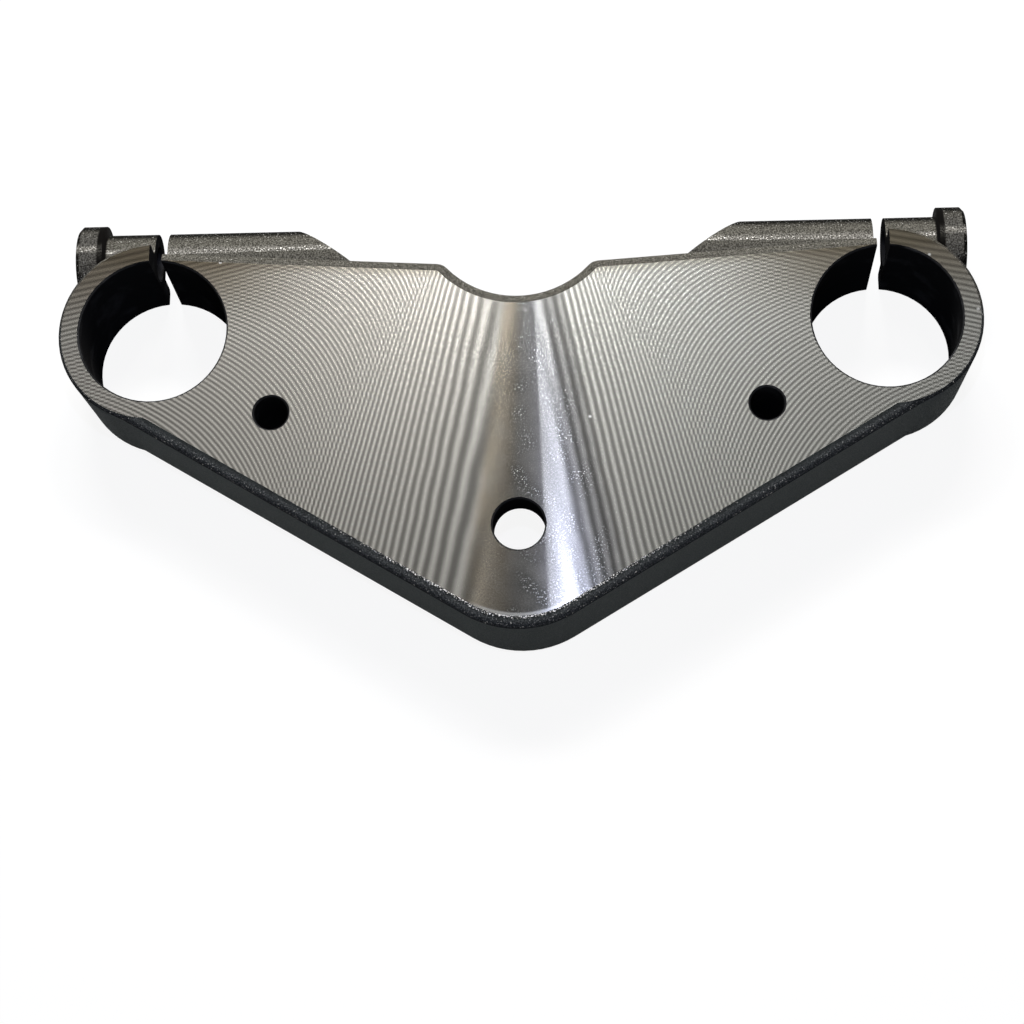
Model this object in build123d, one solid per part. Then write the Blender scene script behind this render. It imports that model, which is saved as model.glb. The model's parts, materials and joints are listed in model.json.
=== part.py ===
from build123d import *
import os
from math import acos, atan2, cos, radians, sin, sqrt, tan

# Upper fork yoke (triple clamp) of a small motorcycle: one aluminium casting, faced on top, with two
# split fork clamps at its ends and the steering stem at its apex. Millimetres, +Z up. The origin is on
# the stem axis in the faced top, X runs along the fork line, and +Y from the stem to the fork tubes.

# Fork clamps
FORK_SPACING = 172.0
FORK_BORE_R = 17.5
RING_WALL = 4.9
RING_CHAMFER = 0.7
SLOT_WIDTH = 3.0

# Steering stem
STEM_SETBACK = 49.0
STEM_HOLE_R = 6.0
STEM_SOCKET_R = 13.0
STEM_BOSS_R = 24.3

# Body between the clamps
HEIGHT = 28.0
WEB = 8.3
WALL_DRAFT = 2.0
EDGE_R = 2.5
FOOT_EDGE_R = 1.5
SIDE_INSET = 0.6
BACK_AT_MIDDLE = 15.0
BACK_AT_FORKS = 20.4
NOTCH_R = 22.5
NOTCH_FLOOR = 7.7
NOTCH_CORNER_R = 1.0

# Holes for the handlebar risers
RISER_SPACING = 115.0
RISER_FROM_STEM = 28.0
RISER_HOLE_R = 4.0

# Pinch-bolt barrels behind the clamps
BARREL_R = 7.2
BARREL_FROM_FORKS = 22.6
BARREL_LENGTH = 31.7
BARREL_END_ANGLE = 36.0
COLLAR_R = 9.4
COLLAR_FROM_FORK = 14.0
COLLAR_LENGTH = 6.4
COLLAR_CHAMFER = 0.9
BOLT_CLEAR_R = 4.25
BOLT_TAP_R = 3.4
BOLT_TAP_DEPTH = 24.0
DRILL_POINT_ANGLE = 118.0

# Cored underside
SKIRT = 6.0
RIB = 6.0
RISER_BOSS_WALL = 5.0
POCKET_CORNER_R = 5.0
POCKET_CEILING_R = 2.5
POCKET_DRAFT = 2.0

# Broken edges of the bored and drilled holes
RIM_CHAMFER = 0.4

# Cutting tools start this far outside the metal
OVERRUN = 1.0

# A point this close to a line or an arc is on it
TOUCH = 0.01

# Places in plan that follow from the sizes, for the half at +X
STEM = Vector(0, 0)
FORK = Vector(FORK_SPACING / 2, STEM_SETBACK)
RISER = Vector(RISER_SPACING / 2, RISER_FROM_STEM)
RING_R = FORK_BORE_R + RING_WALL
NOTCH_CENTRE = Vector(0, STEM_SETBACK + NOTCH_FLOOR + NOTCH_R)
BARREL_Y = STEM_SETBACK + BARREL_FROM_FORKS
BARREL_Z = -HEIGHT / 2


def turned(vector):
    """The plan vector turned a quarter turn to the left."""
    return Vector(-vector.Y, vector.X)


def mirrored(point):
    """The plan point on the other side of the middle plane."""
    return Vector(-point.X, point.Y)


def touching_normal(first, first_r, second, second_r):
    """Outward unit normal of the line that touches both circles, on the right of first to second."""
    across = second - first
    angle = atan2(across.Y, across.X) - acos((first_r - second_r) / across.length)
    return Vector(cos(angle), sin(angle))


def crossing(point, along, other_point, other_along):
    """Plan point where two lines cross, each given by a point and a direction."""
    across = other_point - point
    bend = along.X * other_along.Y - along.Y * other_along.X
    reach = (across.X * other_along.Y - across.Y * other_along.X) / bend
    return point + along * reach


def both_sides(half):
    """The solid of the +X half and its mirror image."""
    return half + mirror(half, about=Plane.YZ)


# The front wall touches the stem boss and, a little inside its rim, the fork ring
SIDE_OUT = touching_normal(STEM, STEM_BOSS_R, FORK, RING_R - SIDE_INSET)
SIDE_ALONG = turned(SIDE_OUT)
BACK_MIDDLE = Vector(0, STEM_SETBACK + BACK_AT_MIDDLE)
BACK_END = Vector(FORK.X, STEM_SETBACK + BACK_AT_FORKS)
BACK_ALONG = (BACK_END - BACK_MIDDLE).normalized()


def body_plan():
    """Outline of the body: straight walls between the clamps, a round nose, a round notch behind."""
    side_end = FORK + SIDE_OUT * (RING_R - SIDE_INSET)
    nose_start = STEM + SIDE_OUT * STEM_BOSS_R
    nose = ThreePointArc(nose_start, STEM - Vector(0, STEM_BOSS_R), mirrored(nose_start))
    half = [BACK_MIDDLE, BACK_END, side_end, nose_start]
    outline = Polyline(*half) + nose + Polyline(*[mirrored(point) for point in reversed(half)])
    plan = make_face(outline) - Pos(NOTCH_CENTRE) * Circle(NOTCH_R)
    on_notch = [v for v in plan.vertices() if abs((Vector(v) - NOTCH_CENTRE).length - NOTCH_R) < TOUCH]
    return fillet(on_notch, NOTCH_CORNER_R + EDGE_R)


def leaning(block, parting, lean):
    """The upright block with its walls leaning in by an angle, away from the parting plane."""
    walls = block.faces().filter_by(Axis.Z, reverse=True)
    return draft(walls, parting, lean)


def body():
    """The cast body: drafted walls, and rough edges rounded above and below."""
    block = leaning(extrude(body_plan(), -HEIGHT), Plane.XY, -WALL_DRAFT)
    rounded = fillet(block.faces().sort_by(Axis.Z)[-1].edges(), EDGE_R)
    return fillet(rounded.faces().sort_by(Axis.Z)[0].edges(), FOOT_EDGE_R)


def fork_ring():
    """The round of metal that becomes a fork clamp, up to the body's straight back wall at the slot."""
    foot_r = RING_R - HEIGHT * tan(radians(WALL_DRAFT))
    below = (Align.CENTER, Align.CENTER, Align.MAX)
    block = Cone(foot_r, RING_R, HEIGHT, align=below)
    ring = chamfer(block.edges().filter_by(GeomType.CIRCLE), RING_CHAMFER)
    inner_back = Box(RING_R, RING_R, HEIGHT, align=(Align.MAX, Align.MIN, Align.MAX))
    return Pos(FORK) * (ring - inner_back)


def rod_along_x(radius, start, end):
    """A round bar on the pinch-bolt axis from x = start to x = end."""
    place = Plane(origin=(start, BARREL_Y, BARREL_Z), z_dir=(1, 0, 0))
    return extrude(place * Circle(radius), end - start)


def pinch_barrel():
    """The barrel for the pinch bolt, with a collar under the bolt's head and a slanted inner end."""
    collar_start = FORK.X + COLLAR_FROM_FORK
    collar_bar = rod_along_x(COLLAR_R, collar_start, collar_start + COLLAR_LENGTH)
    outer_rim = collar_bar.edges().filter_by(GeomType.CIRCLE).sort_by(Axis.X)[-1]
    collar = chamfer(outer_rim, COLLAR_CHAMFER)
    slant = radians(BARREL_END_ANGLE)
    heel = Vector(FORK.X - BARREL_LENGTH, BARREL_Y + BARREL_R)
    inner_end = heel.X - 2 * BARREL_R / tan(slant)
    bar = rod_along_x(BARREL_R, inner_end, collar_start)
    end_cut = Plane(origin=heel, z_dir=(sin(slant), -cos(slant), 0))
    return split(bar, bisect_by=end_cut, keep=Keep.TOP) + collar


def pinch_hole():
    """Clearance hole from the collar to the slot, and the blind tapping hole beyond it."""
    collar_end = FORK.X + COLLAR_FROM_FORK + COLLAR_LENGTH
    clear = rod_along_x(BOLT_CLEAR_R, FORK.X, collar_end + OVERRUN)
    tap_end = FORK.X - SLOT_WIDTH / 2 - BOLT_TAP_DEPTH
    tap = rod_along_x(BOLT_TAP_R, tap_end, FORK.X)
    point_length = BOLT_TAP_R / tan(radians(DRILL_POINT_ANGLE / 2))
    point_base = Plane(origin=(tap_end, BARREL_Y, BARREL_Z), z_dir=(-1, 0, 0))
    upward = (Align.CENTER, Align.CENTER, Align.MIN)
    drill_point = point_base * Cone(BOLT_TAP_R, 0, point_length, align=upward)
    return clear + tap + drill_point


def upright_hole(place, radius, top, bottom):
    """A round cutter on an upright axis between two heights, where the hole's rims break the edges."""
    length = top - bottom
    wide = radius + RIM_CHAMFER + OVERRUN
    upper_rim = Cone(radius, wide, wide - radius, align=(Align.CENTER, Align.CENTER, Align.MIN))
    lower_rim = Cone(wide, radius, wide - radius, align=(Align.CENTER, Align.CENTER, Align.MAX))
    drill = Cylinder(radius, length, align=(Align.CENTER, Align.CENTER, Align.MAX))
    drill += Pos(0, 0, -RIM_CHAMFER) * upper_rim
    drill += Pos(0, 0, RIM_CHAMFER - length) * lower_rim
    return Pos(place.X, place.Y, top) * drill


def stem_socket():
    """The flat-bottomed socket bored from below for the shoulder of the stem, with a broken edge."""
    floor = Plane(origin=(STEM.X, STEM.Y, -WEB), z_dir=(0, 0, -1))
    bore = extrude(floor * Circle(STEM_SOCKET_R), HEIGHT - WEB + OVERRUN)
    wide = STEM_SOCKET_R + RIM_CHAMFER + OVERRUN
    rim = Cone(STEM_SOCKET_R, wide, wide - STEM_SOCKET_R, align=(Align.CENTER, Align.CENTER, Align.MIN))
    return bore + floor * Pos(0, 0, HEIGHT - WEB - RIM_CHAMFER) * rim


def clamp_slot():
    """The split from the fork bore out through the back of the ring and the barrel."""
    reach = BARREL_FROM_FORKS + BARREL_R + OVERRUN
    ahead = (Align.CENTER, Align.MIN, Align.CENTER)
    return Pos(FORK.X, FORK.Y, -HEIGHT / 2) * Box(SLOT_WIDTH, reach, HEIGHT + 2 * OVERRUN, align=ahead)


def pocket():
    """The hollow cored into the underside, with drafted walls and round corners."""
    boss_r = RISER_HOLE_R + RISER_BOSS_WALL
    fork_wall_out = touching_normal(FORK, FORK_BORE_R + SKIRT, RISER, boss_r)
    rib_face = (Vector(RIB / 2, 0), Vector(0, 1))
    stem_face = (STEM + SIDE_ALONG * (STEM_SOCKET_R + SKIRT), SIDE_OUT)
    side_face = (STEM + SIDE_OUT * (STEM_BOSS_R - SKIRT), SIDE_ALONG)
    boss_face = (RISER - SIDE_ALONG * boss_r, SIDE_OUT)
    fork_face = (RISER + fork_wall_out * boss_r, turned(fork_wall_out))
    back_face = (BACK_MIDDLE - turned(BACK_ALONG) * SKIRT, BACK_ALONG)
    notch_half = sqrt(NOTCH_R**2 - (NOTCH_CENTRE.Y - BACK_MIDDLE.Y) ** 2)
    notch_face = (Vector(notch_half + SKIRT, 0), Vector(0, 1))
    corners = [
        Vector(RIB / 2, STEM_SETBACK + NOTCH_FLOOR - SKIRT),
        crossing(*rib_face, *stem_face),
        crossing(*stem_face, *side_face),
        crossing(*side_face, *boss_face),
        crossing(*boss_face, *fork_face),
        crossing(*fork_face, *back_face),
        crossing(*back_face, *notch_face),
    ]
    mouth = make_face(FilletPolyline(*corners, radius=POCKET_CORNER_R, close=True))
    block = extrude(Pos(0, 0, -HEIGHT) * mouth, HEIGHT - WEB)
    hollow = leaning(block, Plane.XY.offset(-HEIGHT), POCKET_DRAFT)
    return fillet(hollow.faces().sort_by(Axis.Z)[-1].edges(), POCKET_CEILING_R)


solid = body() + both_sides(fork_ring()) + both_sides(pinch_barrel())
solid -= both_sides(upright_hole(FORK, FORK_BORE_R, 0, -HEIGHT))
solid -= both_sides(clamp_slot())
solid -= both_sides(pinch_hole())
solid -= both_sides(upright_hole(RISER, RISER_HOLE_R, 0, -HEIGHT))
solid -= upright_hole(STEM, STEM_HOLE_R, 0, -WEB)
solid -= stem_socket()
solid -= both_sides(pocket())

os.makedirs("parts", exist_ok=True)
export_step(solid, "parts/triple_clamp.step")
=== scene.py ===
import json
from math import pi, radians

import bmesh
import bpy
import numpy as np
from mathutils import Euler, Matrix, Vector


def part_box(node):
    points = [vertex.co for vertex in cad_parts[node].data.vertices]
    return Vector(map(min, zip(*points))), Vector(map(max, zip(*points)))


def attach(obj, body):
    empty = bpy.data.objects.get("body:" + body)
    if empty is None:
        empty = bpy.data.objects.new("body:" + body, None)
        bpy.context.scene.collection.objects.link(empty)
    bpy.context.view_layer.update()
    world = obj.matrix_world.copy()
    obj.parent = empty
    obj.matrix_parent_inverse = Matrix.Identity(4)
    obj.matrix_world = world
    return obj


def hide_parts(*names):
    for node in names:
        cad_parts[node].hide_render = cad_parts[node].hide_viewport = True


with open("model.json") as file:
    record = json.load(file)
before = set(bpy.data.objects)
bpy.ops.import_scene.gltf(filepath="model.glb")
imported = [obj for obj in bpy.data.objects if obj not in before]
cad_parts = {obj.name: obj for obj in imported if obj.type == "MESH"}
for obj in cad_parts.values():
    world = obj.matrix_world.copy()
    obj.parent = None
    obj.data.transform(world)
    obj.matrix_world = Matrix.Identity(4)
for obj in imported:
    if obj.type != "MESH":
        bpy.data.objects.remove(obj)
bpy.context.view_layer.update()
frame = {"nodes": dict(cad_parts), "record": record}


# The casting: a fork yoke poured in aluminium as one piece. Its walls, barrels and rounded edges keep the
# dark skin of the mould, the top is faced flat on a lathe, and the holes are bored and drilled.
MM = 0.001
WELD = 0.002 * MM
CREASE = radians(28)
FACED, SKIN, BORED = range(3)
FLAT_SLACK = 0.002 * MM
RIM_WIDTH = 0.45 * MM
WALL_LEAN = 0.5
SLOT_REACH = 2.0 * MM

low, high = (Vector(corner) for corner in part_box("triple_clamp"))
mounts = {mount["name"]: mount for mount in frame["record"]["mounts"]}


def welded_copy(name, node):
    """A copy of a solid's mesh with its loose triangles joined at their corners."""
    mesh = frame["nodes"][node].data.copy()
    mesh.name = name
    seams = bmesh.new()
    seams.from_mesh(mesh)
    bmesh.ops.remove_doubles(seams, verts=seams.verts, dist=WELD)
    seams.to_mesh(mesh)
    seams.free()
    piece = bpy.data.objects.new(name, mesh)
    bpy.context.collection.objects.link(piece)
    return piece


def holes():
    """Every bored or drilled hole: a point on its axis, the axis and the radius, from the record's mounts."""
    for mount in mounts.values():
        place = np.array(mount["pos_m"])
        axis = np.array(mount["axis"], dtype=float)
        sizes = mount["dims"]
        if "r_mm" in sizes:
            yield place, axis, sizes["r_mm"] * MM
        elif "hole_r_mm" in sizes:
            half = np.array([sizes["spacing_x_mm"] * MM / 2, 0, 0])
            yield place - half, axis, sizes["hole_r_mm"] * MM
            yield place + half, axis, sizes["hole_r_mm"] * MM


def face_finishes(mesh):
    """Which finish each face has: faced where it lies in the top, bored where it looks in at a hole's axis
    from the wall or the broken rim of that hole or across a sawn slot, and mould skin everywhere else."""
    count = len(mesh.polygons)
    centre = np.empty(3 * count)
    normal = np.empty(3 * count)
    mesh.polygons.foreach_get("center", centre)
    mesh.polygons.foreach_get("normal", normal)
    centre = centre.reshape(-1, 3)
    normal = normal.reshape(-1, 3)
    finish = np.full(count, SKIN)
    finish[(normal[:, 2] > 1 - WALL_LEAN) & (centre[:, 2] > high.z - FLAT_SLACK)] = FACED
    for place, axis, radius in holes():
        arm = centre - place
        arm -= np.outer(arm @ axis, axis)
        out = np.linalg.norm(arm, axis=1)
        inward = -np.sum(normal * arm, axis=1) > WALL_LEAN * out
        finish[inward & (out < radius + RIM_WIDTH)] = BORED
    fork = mounts["fork_clamp_right"]["pos_m"]
    at_slot = np.abs(np.abs(centre[:, 0]) - fork[0]) < SLOT_REACH
    across = np.abs(normal[:, 0]) > 1 - WALL_LEAN
    finish[at_slot & across & (centre[:, 1] > fork[1])] = BORED
    return finish


def crisp_finish_borders(mesh, finish):
    """Marks as sharp every edge between two finishes, so the flat top keeps its own normals."""
    loops = np.empty(len(mesh.loops), dtype=int)
    mesh.loops.foreach_get("edge_index", loops)
    sides = np.empty(len(mesh.polygons), dtype=int)
    mesh.polygons.foreach_get("loop_total", sides)
    of_loop = np.repeat(finish, sides)
    least = np.full(len(mesh.edges), len(finish))
    most = np.full(len(mesh.edges), -1)
    np.minimum.at(least, loops, of_loop)
    np.maximum.at(most, loops, of_loop)
    sharp = np.empty(len(mesh.edges), dtype=bool)
    mesh.edges.foreach_get("use_edge_sharp", sharp)
    mesh.edges.foreach_set("use_edge_sharp", sharp | (least != most))


casting = welded_copy("casting", "triple_clamp")
finishes = face_finishes(casting.data)
casting.data.shade_smooth()
casting.data.set_sharp_from_angle(angle=CREASE)
crisp_finish_borders(casting.data, finishes)
steady = casting.modifiers.new("flat faces lead", "WEIGHTED_NORMAL")
steady.keep_sharp = True


# The facing cut: rings about a lathe axis behind the notch, seen against a square grain of nearly the same
# pitch. Their beat is what shows: fans of lines down the middle, slanted arcs beside it and flat arcs at
# the forks. The metal scatters light across its rings and hardly along them, which gives it the streak.
# Lengths in the finishes are in millimetres, and a pair is where a change starts and where it ends.
TURNING_AXIS = (-1.1, 96.0, 0.0)
RINGS_PER_MM = 2.012
GRAIN_PER_MM = 2.05
FAN_ENDS = (0.52, 0.80)
ARCS_START = (0.40, 0.66)
ARCS_END = (1.6, 2.3)
FLAT_START = (1.1, 1.75)
PALE_LINE = (0.79, 0.778, 0.738, 1)
DARK_LINE = (0.265, 0.261, 0.243, 1)
CUT_GRAIN = 0.4
CUT_GRAIN_SHARE = 0.3
WOBBLE = 0.25
WOBBLE_PATCH = 9.0
FACED_ROUGHNESS = 0.14
# The mean of a noise, and the tone midway between a dark line and a pale one
HALF = 0.5
# Down the middle the lines are rubbed out, and the metal's grain is strong there as a painted sparkle of the
# streak.
# Beside the streak the top is darkened in patches as a painted dark reflection, each with its tint and the
# leans from the streak's foot between which it comes and goes.
RUBBED_LEAN = 0.035
RUBBED_FADE = (0.075, 0.15)
RUBBED_SHARE = 0.85
# Down the middle the grain is made strong as a painted sparkle of the streak
SPARKLE_SHARE = 1.3
STREAK_FOOT = 3.4
# Painted dark reflection: tints that darken the top in patches beside the streak
DARK_REFLECTION_TINTS = (
    ((0.83, 0.76, 0.66, 1), (-0.150, -0.110), (-0.020, -0.060)),
    ((0.31, 0.31, 0.31, 1), (-0.105, -0.030), (0.045, 0.032)),
    ((0.48, 0.48, 0.49, 1), (0.085, 0.115), (0.230, 0.175)),
)
DARK_REFLECTION_PATCH = 7.0
DARK_REFLECTION_OCTAVES = 3.0
# Where the patches start and end, and how much of the darkening is left before and after that
DARK_REFLECTION_PATCHES = (0.3, 0.6, 0.72, 1.0)
# Painted glints: specks in a bright metal colour beside the streak, where its highlight falls
GLITTER_LEAN = 0.06
GLITTER_FADE = (0.09, 0.14)
GLITTER_SIZE = 0.40
GLITTER_OCTAVES = 1.0
GLITTERS = (0.56, 0.70)
GLITTER_PATCHES = (0.45, 0.60)
# Towards the slots and along the back edge the top is dulled by dirt from the barrels
DIRT_BESIDE = (40.0, 76.0)
DIRT_BEHIND = (46.0, 66.0)
DIRT_SHARE = 0.4
DIRT_TINT = (0.52, 0.47, 0.40, 1)
BACK_EDGE = 64.0
BACK_RISE = 0.0628
EDGE_DIRT = (5.5, 2.3)
EDGE_DIRT_TINT = (0.76, 0.74, 0.69, 1)
# A painted highlight lies along the rim at the nose, and small nicks go down to bright metal
NOSE_RIM = 21.6
NOSE_RIM_FADE = (0.35, 0.9)
NOSE_FROM = (-17.8, -20.0)
NOSE_SHINE = 0.75
NICKS = ((-70.4, 65.9, 0.0), (96.5, 63.9, 0.0), (107.0, 50.0, 0.0), (16.6, 25.5, 0.0))
NICK_SIZE = (0.2, 0.5)
BARE_METAL_AND_GLINT = (0.95, 0.95, 0.95, 1)


class Finish:
    """A material under way: its nodes, its shader, and short ways to write a formula in nodes."""

    # The mix node keeps inputs and an output of their own for numbers and for colours, all of the same names
    NUMBER_INPUTS = (2, 3)
    NUMBER_OUTPUT = 0
    COLOUR_INPUTS = (6, 7)
    COLOUR_OUTPUT = 2

    def __init__(self, name):
        self.material = bpy.data.materials.new(name)
        self.material.use_nodes = True
        self.tree = self.material.node_tree
        self.shader = self.tree.nodes["Principled BSDF"]
        place = self.tree.nodes.new("ShaderNodeTexCoord").outputs
        self.mm = self.vector("SCALE", place["Object"], scale=1 / MM)
        self.facing = place["Normal"]

    def feed(self, socket, value):
        """Links a socket, or sets a plain value."""
        if isinstance(value, bpy.types.NodeSocket):
            self.tree.links.new(value, socket)
        else:
            socket.default_value = value

    def set(self, **values):
        """Feeds the shader's sockets by name, with _ for a space."""
        for name, value in values.items():
            self.feed(self.shader.inputs[name.replace("_", " ")], value)

    def node(self, kind, **values):
        """A node of a kind, with its sockets fed by name."""
        made = self.tree.nodes.new(kind)
        for name, value in values.items():
            self.feed(made.inputs[name], value)
        return made

    def math(self, operation, *values, clamp=False):
        """One step of arithmetic on numbers."""
        step = self.tree.nodes.new("ShaderNodeMath")
        step.operation = operation
        step.use_clamp = clamp
        for socket, value in zip(step.inputs, values):
            self.feed(socket, value)
        return step.outputs["Value"]

    def vector(self, operation, *values, scale=None):
        """One step of arithmetic on vectors."""
        step = self.tree.nodes.new("ShaderNodeVectorMath")
        step.operation = operation
        for socket, value in zip(step.inputs, values):
            self.feed(socket, value)
        if scale is not None:
            step.inputs["Scale"].default_value = scale
        return step.outputs["Value" if operation in ("LENGTH", "DISTANCE") else "Vector"]

    def axes(self, vector):
        """The three numbers of a vector."""
        return self.node("ShaderNodeSeparateXYZ", Vector=vector).outputs

    def noise(self, grain, octaves=2.0, rough=0.5):
        """Cloudy noise between 0 and 1 whose lumps are about a grain across, in millimetres."""
        made = self.node("ShaderNodeTexNoise", Vector=self.mm, Scale=1 / grain)
        made.inputs["Detail"].default_value = octaves
        made.inputs["Roughness"].default_value = rough
        return made.outputs["Fac"]

    def ramp(self, value, start, end, before=0.0, after=1.0):
        """A smooth change between two numbers while the value goes from start to end."""
        made = self.node("ShaderNodeMapRange", Value=value)
        made.interpolation_type = "SMOOTHSTEP"
        made.inputs["From Min"].default_value = start
        made.inputs["From Max"].default_value = end
        made.inputs["To Min"].default_value = before
        made.inputs["To Max"].default_value = after
        return made.outputs["Result"]

    def near(self, value, middle, fade):
        """1 where a value is near its middle, 0 where it is farther off than the fade's end."""
        off = self.math("ABSOLUTE", self.math("SUBTRACT", value, middle))
        return self.ramp(off, *fade, 1.0, 0.0)

    def mix(self, share, first, second):
        """A number between two numbers."""
        made = self.node("ShaderNodeMix", Factor=share)
        for index, value in zip(self.NUMBER_INPUTS, (first, second)):
            self.feed(made.inputs[index], value)
        return made.outputs[self.NUMBER_OUTPUT]

    def blend(self, share, first, second, mode="MIX"):
        """A colour between two colours, or the first one worked on by the second."""
        made = self.node("ShaderNodeMix", Factor=share)
        made.data_type = "RGBA"
        made.blend_type = mode
        for index, value in zip(self.COLOUR_INPUTS, (first, second)):
            self.feed(made.inputs[index], value)
        return made.outputs[self.COLOUR_OUTPUT]

    def bump(self, height, depth, below=None):
        """Normals of a height between 0 and 1 that stands for a depth in millimetres."""
        made = self.node("ShaderNodeBump", Height=height, Distance=depth * MM)
        if below is not None:
            self.feed(made.inputs["Normal"], below)
        return made.outputs["Normal"]


def turning_lines(finish, arm, lean):
    """The beat of the rings and the grain, from 0 in a dark line to 1 in a pale one. The phase is rings per
    mm times the distance from the axis, plus grain per mm times y down the middle, times y less |x| beside
    it, and less |x| alone at the forks. The lean is how far a place is to the side, per mm from the axis.
    Where two families of lines meet, both show and cross, and a slow noise makes the rings wobble."""
    x, y, _ = finish.axes(arm)
    beside = finish.math("MULTIPLY", finish.math("ABSOLUTE", x), GRAIN_PER_MM)
    wobble = finish.math("SUBTRACT", finish.noise(WOBBLE_PATCH), HALF)
    rings = finish.math("MULTIPLY", finish.vector("LENGTH", arm), RINGS_PER_MM)
    rings = finish.math("MULTIPLY_ADD", wobble, WOBBLE, rings)
    fan = finish.math("MULTIPLY_ADD", y, GRAIN_PER_MM, rings)
    phases = (fan, finish.math("SUBTRACT", fan, beside), finish.math("SUBTRACT", rings, beside))
    fan, arcs, flat = (finish.math("SINE", finish.math("MULTIPLY", phase, 2 * pi)) for phase in phases)
    steep = finish.math("ABSOLUTE", lean)
    arcs = finish.math("MULTIPLY", arcs, finish.ramp(steep, *ARCS_START))
    wave = finish.math("MULTIPLY_ADD", fan, finish.ramp(steep, *FAN_ENDS, 1.0, 0.0), arcs)
    wave = finish.math("MULTIPLY", wave, finish.ramp(steep, *ARCS_END, 1.0, 0.0))
    wave = finish.math("MULTIPLY_ADD", flat, finish.ramp(steep, *FLAT_START), wave)
    return finish.math("MULTIPLY_ADD", wave, HALF, HALF, clamp=True)


def cut_tone(finish, lines, rubbed, dirt):
    """The turning lines, flattened where they are rubbed out or dirty, under a grain that is strongest where
    they are rubbed out, there as a painted sparkle of the streak."""
    lines = finish.mix(finish.math("MULTIPLY", rubbed, RUBBED_SHARE), lines, HALF)
    lines = finish.mix(finish.math("MULTIPLY", dirt, DIRT_SHARE), lines, HALF)
    grain = finish.math("SUBTRACT", finish.noise(CUT_GRAIN), HALF)
    share = finish.mix(rubbed, CUT_GRAIN_SHARE, SPARKLE_SHARE)
    return finish.math("MULTIPLY_ADD", grain, share, lines, clamp=True)


def painted_dark_reflection(finish, colour, from_streak, clouds):
    """A colour darkened by a painted dark reflection, which lies in patches on both sides of the streak."""
    patches = finish.ramp(clouds, *DARK_REFLECTION_PATCHES)
    for tint, coming, going in DARK_REFLECTION_TINTS:
        darkening = finish.math("MULTIPLY", finish.ramp(from_streak, *coming), finish.ramp(from_streak, *going))
        colour = finish.blend(finish.math("MULTIPLY", darkening, patches), colour, tint, "MULTIPLY")
    return colour


def highlights_and_nicks(finish, from_streak, clouds, behind):
    """Where the top is painted bright: painted glints by the streak, a painted highlight along the rim at the
    nose, and bare metal in the nicks.
    """
    bright = finish.ramp(finish.noise(GLITTER_SIZE, GLITTER_OCTAVES), *GLITTERS)
    bright = finish.math("MULTIPLY", bright, finish.near(from_streak, GLITTER_LEAN, GLITTER_FADE))
    bright = finish.math("MULTIPLY", bright, finish.ramp(clouds, *GLITTER_PATCHES))
    # A painted highlight along the rim at the nose
    nose = finish.near(finish.vector("LENGTH", finish.mm), NOSE_RIM, NOSE_RIM_FADE)
    nose = finish.math("MULTIPLY", nose, finish.ramp(behind, *NOSE_FROM, 0.0, NOSE_SHINE))
    bright = finish.math("MAXIMUM", bright, nose)
    for place in NICKS:
        away = finish.vector("DISTANCE", finish.mm, place)
        bright = finish.math("MAXIMUM", bright, finish.ramp(away, *NICK_SIZE, 1.0, 0.0))
    return bright


def faced_top():
    """Bright machined aluminium: turning lines, a rubbed middle with a painted sparkle, a painted dark
    reflection beside the streak, dirt by the slots, painted glints, a painted highlight on the nose rim, and
    nicks.
    """
    finish = Finish("faced aluminium")
    arm = finish.vector("SUBTRACT", finish.mm, TURNING_AXIS)
    x, y, _ = finish.axes(arm)
    ahead = finish.math("MULTIPLY", y, -1.0)
    lean = finish.math("DIVIDE", x, ahead)
    from_streak = finish.math("DIVIDE", finish.math("SUBTRACT", x, STREAK_FOOT), ahead)
    rubbed = finish.near(lean, RUBBED_LEAN, RUBBED_FADE)
    beside, behind, _ = finish.axes(finish.mm)
    beside = finish.math("ABSOLUTE", beside)
    dirt = finish.math("MULTIPLY", finish.ramp(beside, *DIRT_BESIDE), finish.ramp(behind, *DIRT_BEHIND))
    back_edge = finish.math("MULTIPLY_ADD", beside, BACK_RISE, BACK_EDGE)
    edge_dirt = finish.ramp(finish.math("SUBTRACT", back_edge, behind), *EDGE_DIRT)
    clouds = finish.noise(DARK_REFLECTION_PATCH, DARK_REFLECTION_OCTAVES)
    lines = cut_tone(finish, turning_lines(finish, arm, lean), rubbed, dirt)
    colour = painted_dark_reflection(finish, finish.blend(lines, DARK_LINE, PALE_LINE), from_streak, clouds)
    colour = finish.blend(dirt, colour, DIRT_TINT, "MULTIPLY")
    colour = finish.blend(edge_dirt, colour, EDGE_DIRT_TINT, "MULTIPLY")
    colour = finish.blend(highlights_and_nicks(finish, from_streak, clouds, behind), colour, BARE_METAL_AND_GLINT)
    finish.set(Base_Color=colour, Metallic=1.0, Roughness=FACED_ROUGHNESS, Anisotropic=1.0)
    finish.set(Tangent=finish.vector("NORMALIZE", arm))
    return finish.material


# The mould skin: sand-cast aluminium, dark grey with age on the upright front walls. Its colour holds painted
# light and shade: nearly black as painted shade behind, below and wherever no other kind lies, a painted
# shadow in the corners under the collars, a rounded front edge darker than the walls, a brown grey painted
# light on the back edge and where the barrels and collars face up, and a painted highlight just behind the
# barrels' crests.
# Painted glints of high grains of sand lie on the crests, the rounded front edge and the front rim.
# Painted shade: near black behind, below and wherever no other kind lies
PAINTED_SHADE_PIT = (0.0085, 0.010, 0.010, 1)
PAINTED_SHADE_GRAIN = (0.021, 0.025, 0.025, 1)
UPRIGHT = 0.0
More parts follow.
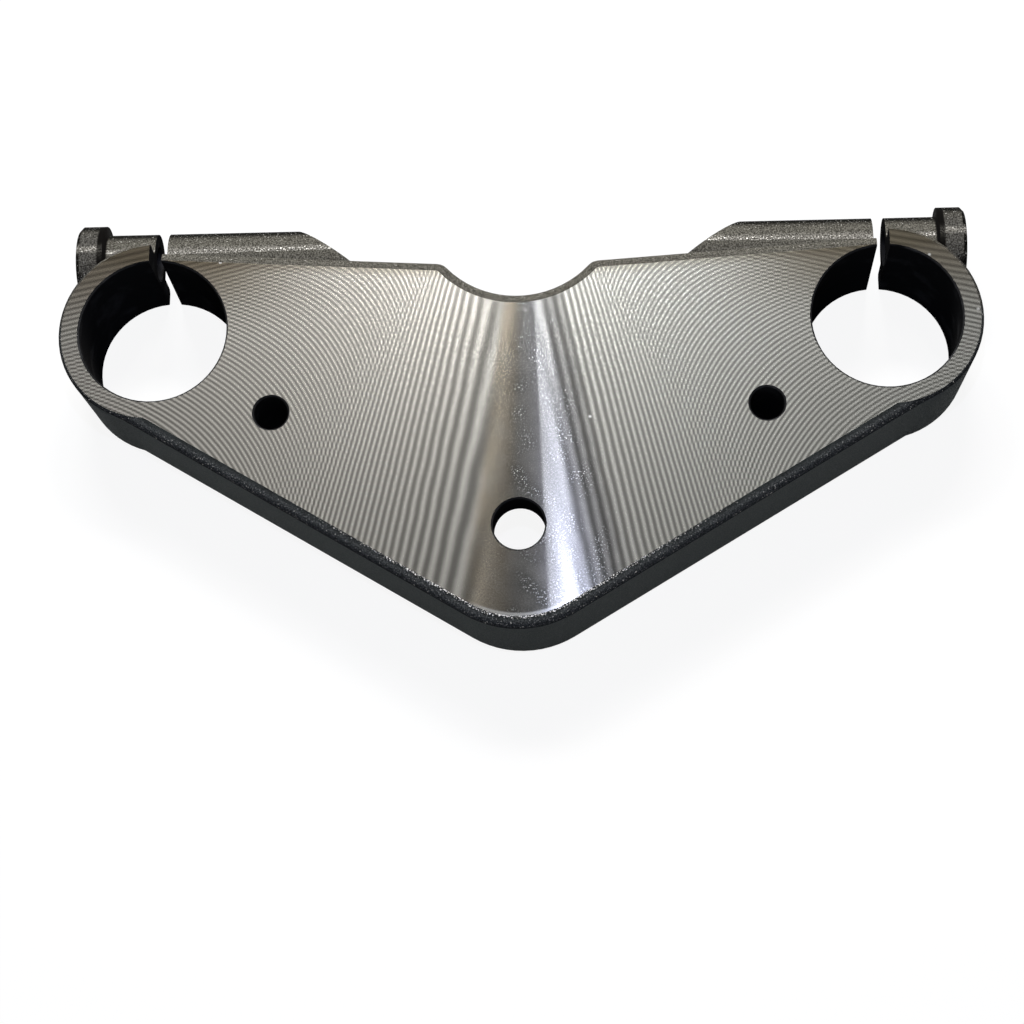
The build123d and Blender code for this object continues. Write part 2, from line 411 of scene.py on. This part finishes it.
# The upright front walls in the skin's own dark grey, fading behind into the painted shade
FRONT_PIT = (0.155, 0.172, 0.173, 1)
FRONT_GRAIN = (0.225, 0.250, 0.252, 1)
FRONT_UP = (0.10, 0.22)
FRONT_TO_BACK = (22.0, 52.0)
# The rounded front edge: darker than the walls where it faces half up, a painted shade, with painted glints
EDGE_PIT = (0.034, 0.037, 0.037, 1)
EDGE_GRAIN = (0.104, 0.110, 0.111, 1)
EDGE_UP = 0.6
EDGE_FADE = (0.25, 0.45)
EDGE_SHINE = 0.47
BACK_FROM = (50.0, 54.0)
# Painted shade: near black behind
BACK_SHADE_PIT = (0.005, 0.005, 0.004, 1)
BACK_SHADE_GRAIN = (0.014, 0.0135, 0.012, 1)
# Painted light: brown grey on the back edge above the barrels, and where the barrels and the collars face up
PAINTED_LIT_PIT = (0.045, 0.042, 0.035, 1)
PAINTED_LIT_GRAIN = (0.185, 0.176, 0.149, 1)
PAINTED_LIT_UP = (0.68, 0.93)
BARREL_BELOW = (-3.5, -5.0)
# The collars: the same painted light where they face up, in a darker brown grey than on the barrels
COLLAR_FROM = (100.8, 101.3)
COLLAR_PIT = (0.030, 0.028, 0.025, 1)
COLLAR_GRAIN = (0.130, 0.125, 0.112, 1)
# Painted highlight: a bright band just behind each barrel's crest, where grains are painted as glints
CREST_HIGHLIGHT_PIT = (0.065, 0.061, 0.052, 1)
CREST_HIGHLIGHT_GRAIN = (0.42, 0.40, 0.355, 1)
CREST_LEAN = 0.055
CREST_FADE = (0.03, 0.12)
CREST_SHINE = 0.72
# Painted shadow: near black on the barrels beside the collars
CORNER = 100.3
CORNER_FADE = (0.7, 1.2)
CORNER_SHADOW = (0.006, 0.0055, 0.005, 1)
# Painted glints where the rounded front edge leaves the top, more towards the nose
RIM_FROM = (25.0, -18.0)
RIM_UP = (0.92, 0.998)
GLINT = (0.80, 0.78, 0.74, 1)
GRAINS = (0.36, 0.66)
GLINTS = (0.50, 0.60)
GLINT_SPREAD = 0.26
SAND = 0.36
SAND_OCTAVES = 2.0
SAND_DEPTH = 0.09
LUMP = 5.0
LUMP_OCTAVES = 4.0
LUMP_DEPTH = 0.10
CAST_ROUGH = 0.6
SKIN_ROUGHNESS = 0.55
SKIN_SHEEN = 0.003


def skin_places(finish):
    """The share from 0 to 1 of each kind of place on the skin, by where it is and how far it faces up. Most
    kinds are painted light or shade.
    """
    _, behind, up = finish.axes(finish.facing)
    x, y, z = finish.axes(finish.mm)
    beside = finish.math("ABSOLUTE", x)
    front = finish.near(up, UPRIGHT, FRONT_UP)
    front = finish.math("MULTIPLY", front, finish.ramp(y, *FRONT_TO_BACK, 1.0, 0.0))
    edge = finish.near(up, EDGE_UP, EDGE_FADE)
    back = finish.ramp(y, *BACK_FROM)
    below = finish.ramp(z, *BARREL_BELOW)
    barrel = finish.math("MULTIPLY", back, below)
    # Painted light on the back edge above the barrels, and where the barrels face up
    painted_lit = finish.math("MAXIMUM", finish.ramp(up, *PAINTED_LIT_UP), finish.math("SUBTRACT", 1.0, below))
    painted_lit = finish.math("MULTIPLY", back, painted_lit)
    collar = finish.math("MULTIPLY", painted_lit, finish.ramp(beside, *COLLAR_FROM))
    crest_highlight = finish.math("MULTIPLY", barrel, finish.near(behind, CREST_LEAN, CREST_FADE))
    crest_highlight = finish.math("MULTIPLY", crest_highlight, finish.math("GREATER_THAN", up, UPRIGHT))
    # Painted shadow on the barrels beside the collars
    corner = finish.math("MULTIPLY", barrel, finish.near(beside, CORNER, CORNER_FADE))
    rim = finish.math("MULTIPLY", finish.ramp(y, *RIM_FROM), finish.ramp(up, *RIM_UP))
    return front, edge, back, painted_lit, collar, crest_highlight, corner, rim


def mould_skin():
    """Cast aluminium with a sandy grain. Each kind of place mixes its pits with its grains of sand, a later
    kind covers an earlier one, and the highest grains are painted as glints on the crest highlight, the
    rounded front edge and the front rim."""
    finish = Finish("cast skin")
    sand = finish.noise(SAND, SAND_OCTAVES, CAST_ROUGH)
    lumps = finish.noise(LUMP, LUMP_OCTAVES, CAST_ROUGH)
    grains = finish.ramp(sand, *GRAINS)
    front, edge, back, painted_lit, collar, crest_highlight, corner, rim = skin_places(finish)
    kinds = (
        (front, FRONT_PIT, FRONT_GRAIN),
        (edge, EDGE_PIT, EDGE_GRAIN),
        (back, BACK_SHADE_PIT, BACK_SHADE_GRAIN),
        (painted_lit, PAINTED_LIT_PIT, PAINTED_LIT_GRAIN),
        (collar, COLLAR_PIT, COLLAR_GRAIN),
        (crest_highlight, CREST_HIGHLIGHT_PIT, CREST_HIGHLIGHT_GRAIN),
        (corner, CORNER_SHADOW, CORNER_SHADOW),
    )
    colour = finish.blend(finish.ramp(lumps, *GRAINS), PAINTED_SHADE_PIT, PAINTED_SHADE_GRAIN)
    for share, pit, grain in kinds:
        colour = finish.blend(share, colour, finish.blend(grains, pit, grain))
    shining = finish.math("MAXIMUM", finish.math("MULTIPLY", crest_highlight, CREST_SHINE), rim)
    shining = finish.math("MAXIMUM", finish.math("MULTIPLY", edge, EDGE_SHINE), shining)
    shining = finish.math("SUBTRACT", shining, corner)
    # Painted glints: the highest grains turn bright and metallic under the crest highlight, the front rim and
    # the rounded front edge, but not in the corner shadow
    glint = finish.math("MULTIPLY_ADD", finish.math("SUBTRACT", shining, 1.0), GLINT_SPREAD, sand)
    glint = finish.ramp(glint, *GLINTS)
    colour = finish.blend(glint, colour, GLINT)
    normal = finish.bump(sand, SAND_DEPTH, finish.bump(lumps, LUMP_DEPTH))
    finish.set(Base_Color=colour, Metallic=glint, Roughness=SKIN_ROUGHNESS, Specular_IOR_Level=SKIN_SHEEN)
    finish.set(Normal=normal)
    return finish.material


# The holes and the sawn slots: cut smooth after casting, their rims broken, and painted near black without
# sheen as the shade inside them. Broad smears on their walls are a little lighter.
BORE_SHADE = (0.020, 0.020, 0.021, 1)
BORE_WORN = (0.05, 0.05, 0.052, 1)
SMEAR = 6.0
SMEAR_OCTAVES = 3.0
SMEARS = (0.5, 0.8)
BORE_ROUGHNESS = 0.6


def bored_wall():
    """The wall of a hole or a slot: painted near black as shade, a little lighter in smears."""
    finish = Finish("bored wall")
    smear = finish.ramp(finish.noise(SMEAR, SMEAR_OCTAVES), *SMEARS)
    colour = finish.blend(smear, BORE_SHADE, BORE_WORN)
    finish.set(Base_Color=colour, Roughness=BORE_ROUGHNESS, Specular_IOR_Level=0.0)
    return finish.material


casting.data.materials.clear()
for make in (faced_top, mould_skin, bored_wall):
    casting.data.materials.append(make())
casting.data.polygons.foreach_set("material_index", finishes)
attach(casting, "root")
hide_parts("triple_clamp")


# The floor: a wide white sheet that the casting lies on, with a faint shadow. A band of the same paper stands
# all round it, so that the bright top has something pale to mirror when it is seen from the side.
FLOOR_HALF = 3.0
WHITE = (1, 1, 1, 1)
PAPER_COLOUR = (0.12, 0.12, 0.12, 1)
PAPER_ROUGHNESS = 0.9
PAPER_LIFT = 0.90
BAND_RADIUS = 2.9
BAND_HEIGHT = 1.2
BAND_SIDES = 96
ROOM_LIGHT = 0.09


def white_paper(name, glow):
    """Paper that looks white to the eye and in reflections, and lights the casting with only a glow."""
    finish = Finish(name)
    path = finish.tree.nodes.new("ShaderNodeLightPath").outputs
    seen = finish.math("MAXIMUM", path["Is Glossy Ray"], path["Is Transmission Ray"])
    seen = finish.math("MAXIMUM", path["Is Camera Ray"], seen)
    finish.set(Base_Color=PAPER_COLOUR, Roughness=PAPER_ROUGHNESS, Specular_IOR_Level=0.0)
    finish.set(Emission_Color=WHITE)
    finish.set(Emission_Strength=finish.math("MAXIMUM", finish.math("MULTIPLY", seen, PAPER_LIFT), glow))
    return finish.material


def sheet(name, points, faces, glow):
    """A piece of white paper on the stage, from its points and the corners of its faces."""
    mesh = bpy.data.meshes.new(name)
    mesh.from_pydata(points.tolist(), [], faces.tolist())
    mesh.materials.append(white_paper(name, glow))
    paper = bpy.data.objects.new(name, mesh)
    bpy.context.collection.objects.link(paper)


square = np.array([[-1, -1], [1, -1], [1, 1], [-1, 1]]) * FLOOR_HALF
corners = np.column_stack([square, np.full(len(square), low.z)])
sheet("floor", corners, np.arange(len(square)).reshape(1, -1), 0.0)

around = np.linspace(0, 2 * pi, BAND_SIDES, endpoint=False)
circle = np.column_stack([np.cos(around), np.sin(around)]) * BAND_RADIUS
band_foot = np.column_stack([circle, np.full(BAND_SIDES, low.z)])
band_head = band_foot + [0, 0, BAND_HEIGHT]
start = np.arange(BAND_SIDES)
end = np.roll(start, -1)
panels = np.column_stack([start, end, end + BAND_SIDES, start + BAND_SIDES])
sheet("backdrop", np.vstack([band_foot, band_head]), panels, ROOM_LIGHT)


# The light: two soft boxes behind the casting with a narrow gap between them, their outer ends raised, a
# small lamp above its nose and a dim room all round.
MIDDLE = Vector((0.0, 0.05, 0.0))
GAP_PLACE = Vector((-0.032, 0.500, 0.576))
GAP_HALF = 0.007
BOX_WIDTH = 0.197
BOX_HEIGHT = 0.125
BOX_ROLL = radians(11.5)
BOX_POWER = 3.35
BOX_LEFT_TINT = (0.985, 1.0, 0.985)
BOX_RIGHT_TINT = (1.0, 0.97, 0.93)
LAMP_PLACE = Vector((0.0217, -0.040, 0.560))
LAMP_SIZE = 0.008
LAMP_POWER = 0.72
LAMP_TINT = (0.68, 0.74, 1.0)


def soft_box(name, place, width, height, power, tint, roll=0.0):
    """An oblong lamp that faces the casting, its width level or rolled by an angle."""
    lamp = bpy.data.lights.new(name, "AREA")
    lamp.shape = "RECTANGLE"
    lamp.size = width
    lamp.size_y = height
    lamp.energy = power
    lamp.color = tint
    holder = bpy.data.objects.new(name, lamp)
    facing = (MIDDLE - place).to_track_quat("-Z", "Y").to_matrix().to_4x4()
    holder.matrix_world = Matrix.Translation(place) @ facing @ Matrix.Rotation(roll, 4, "Z")
    bpy.context.collection.objects.link(holder)


for name, side, tint in (("soft box left", -1, BOX_LEFT_TINT), ("soft box right", 1, BOX_RIGHT_TINT)):
    place = GAP_PLACE + Vector((side * (GAP_HALF + BOX_WIDTH / 2), 0, 0))
    soft_box(name, place, BOX_WIDTH, BOX_HEIGHT, BOX_POWER, tint, -side * BOX_ROLL)
soft_box("nose lamp", LAMP_PLACE, LAMP_SIZE, LAMP_SIZE, LAMP_POWER, LAMP_TINT)

world = bpy.data.worlds.new("dim room")
bpy.context.scene.world = world
world.use_nodes = True
room = world.node_tree.nodes["Background"]
room.inputs["Color"].default_value = WHITE
room.inputs["Strength"].default_value = ROOM_LIGHT


# The camera: above and in front of the casting, a little to its right, looking steeply down at its faced top.
# Its turn is in degrees about X, Y and Z in that order, from a camera that looks straight down.
CAMERA_PLACE = Vector((22.128, -158.789, 533.725)) * MM
CAMERA_TURN = (16.8171, 2.6241, -0.2882)
LENS = 85.95
SENSOR = 36.0
NEAREST = 0.01

lens = bpy.data.cameras.new("camera")
lens.lens = LENS
lens.sensor_width = SENSOR
lens.clip_start = NEAREST
camera = bpy.data.objects.new("camera", lens)
turn = Euler([radians(angle) for angle in CAMERA_TURN]).to_matrix().to_4x4()
camera.matrix_world = Matrix.Translation(CAMERA_PLACE) @ turn
bpy.context.collection.objects.link(camera)
bpy.context.scene.camera = camera

bpy.context.scene.view_settings.view_transform = "Standard"
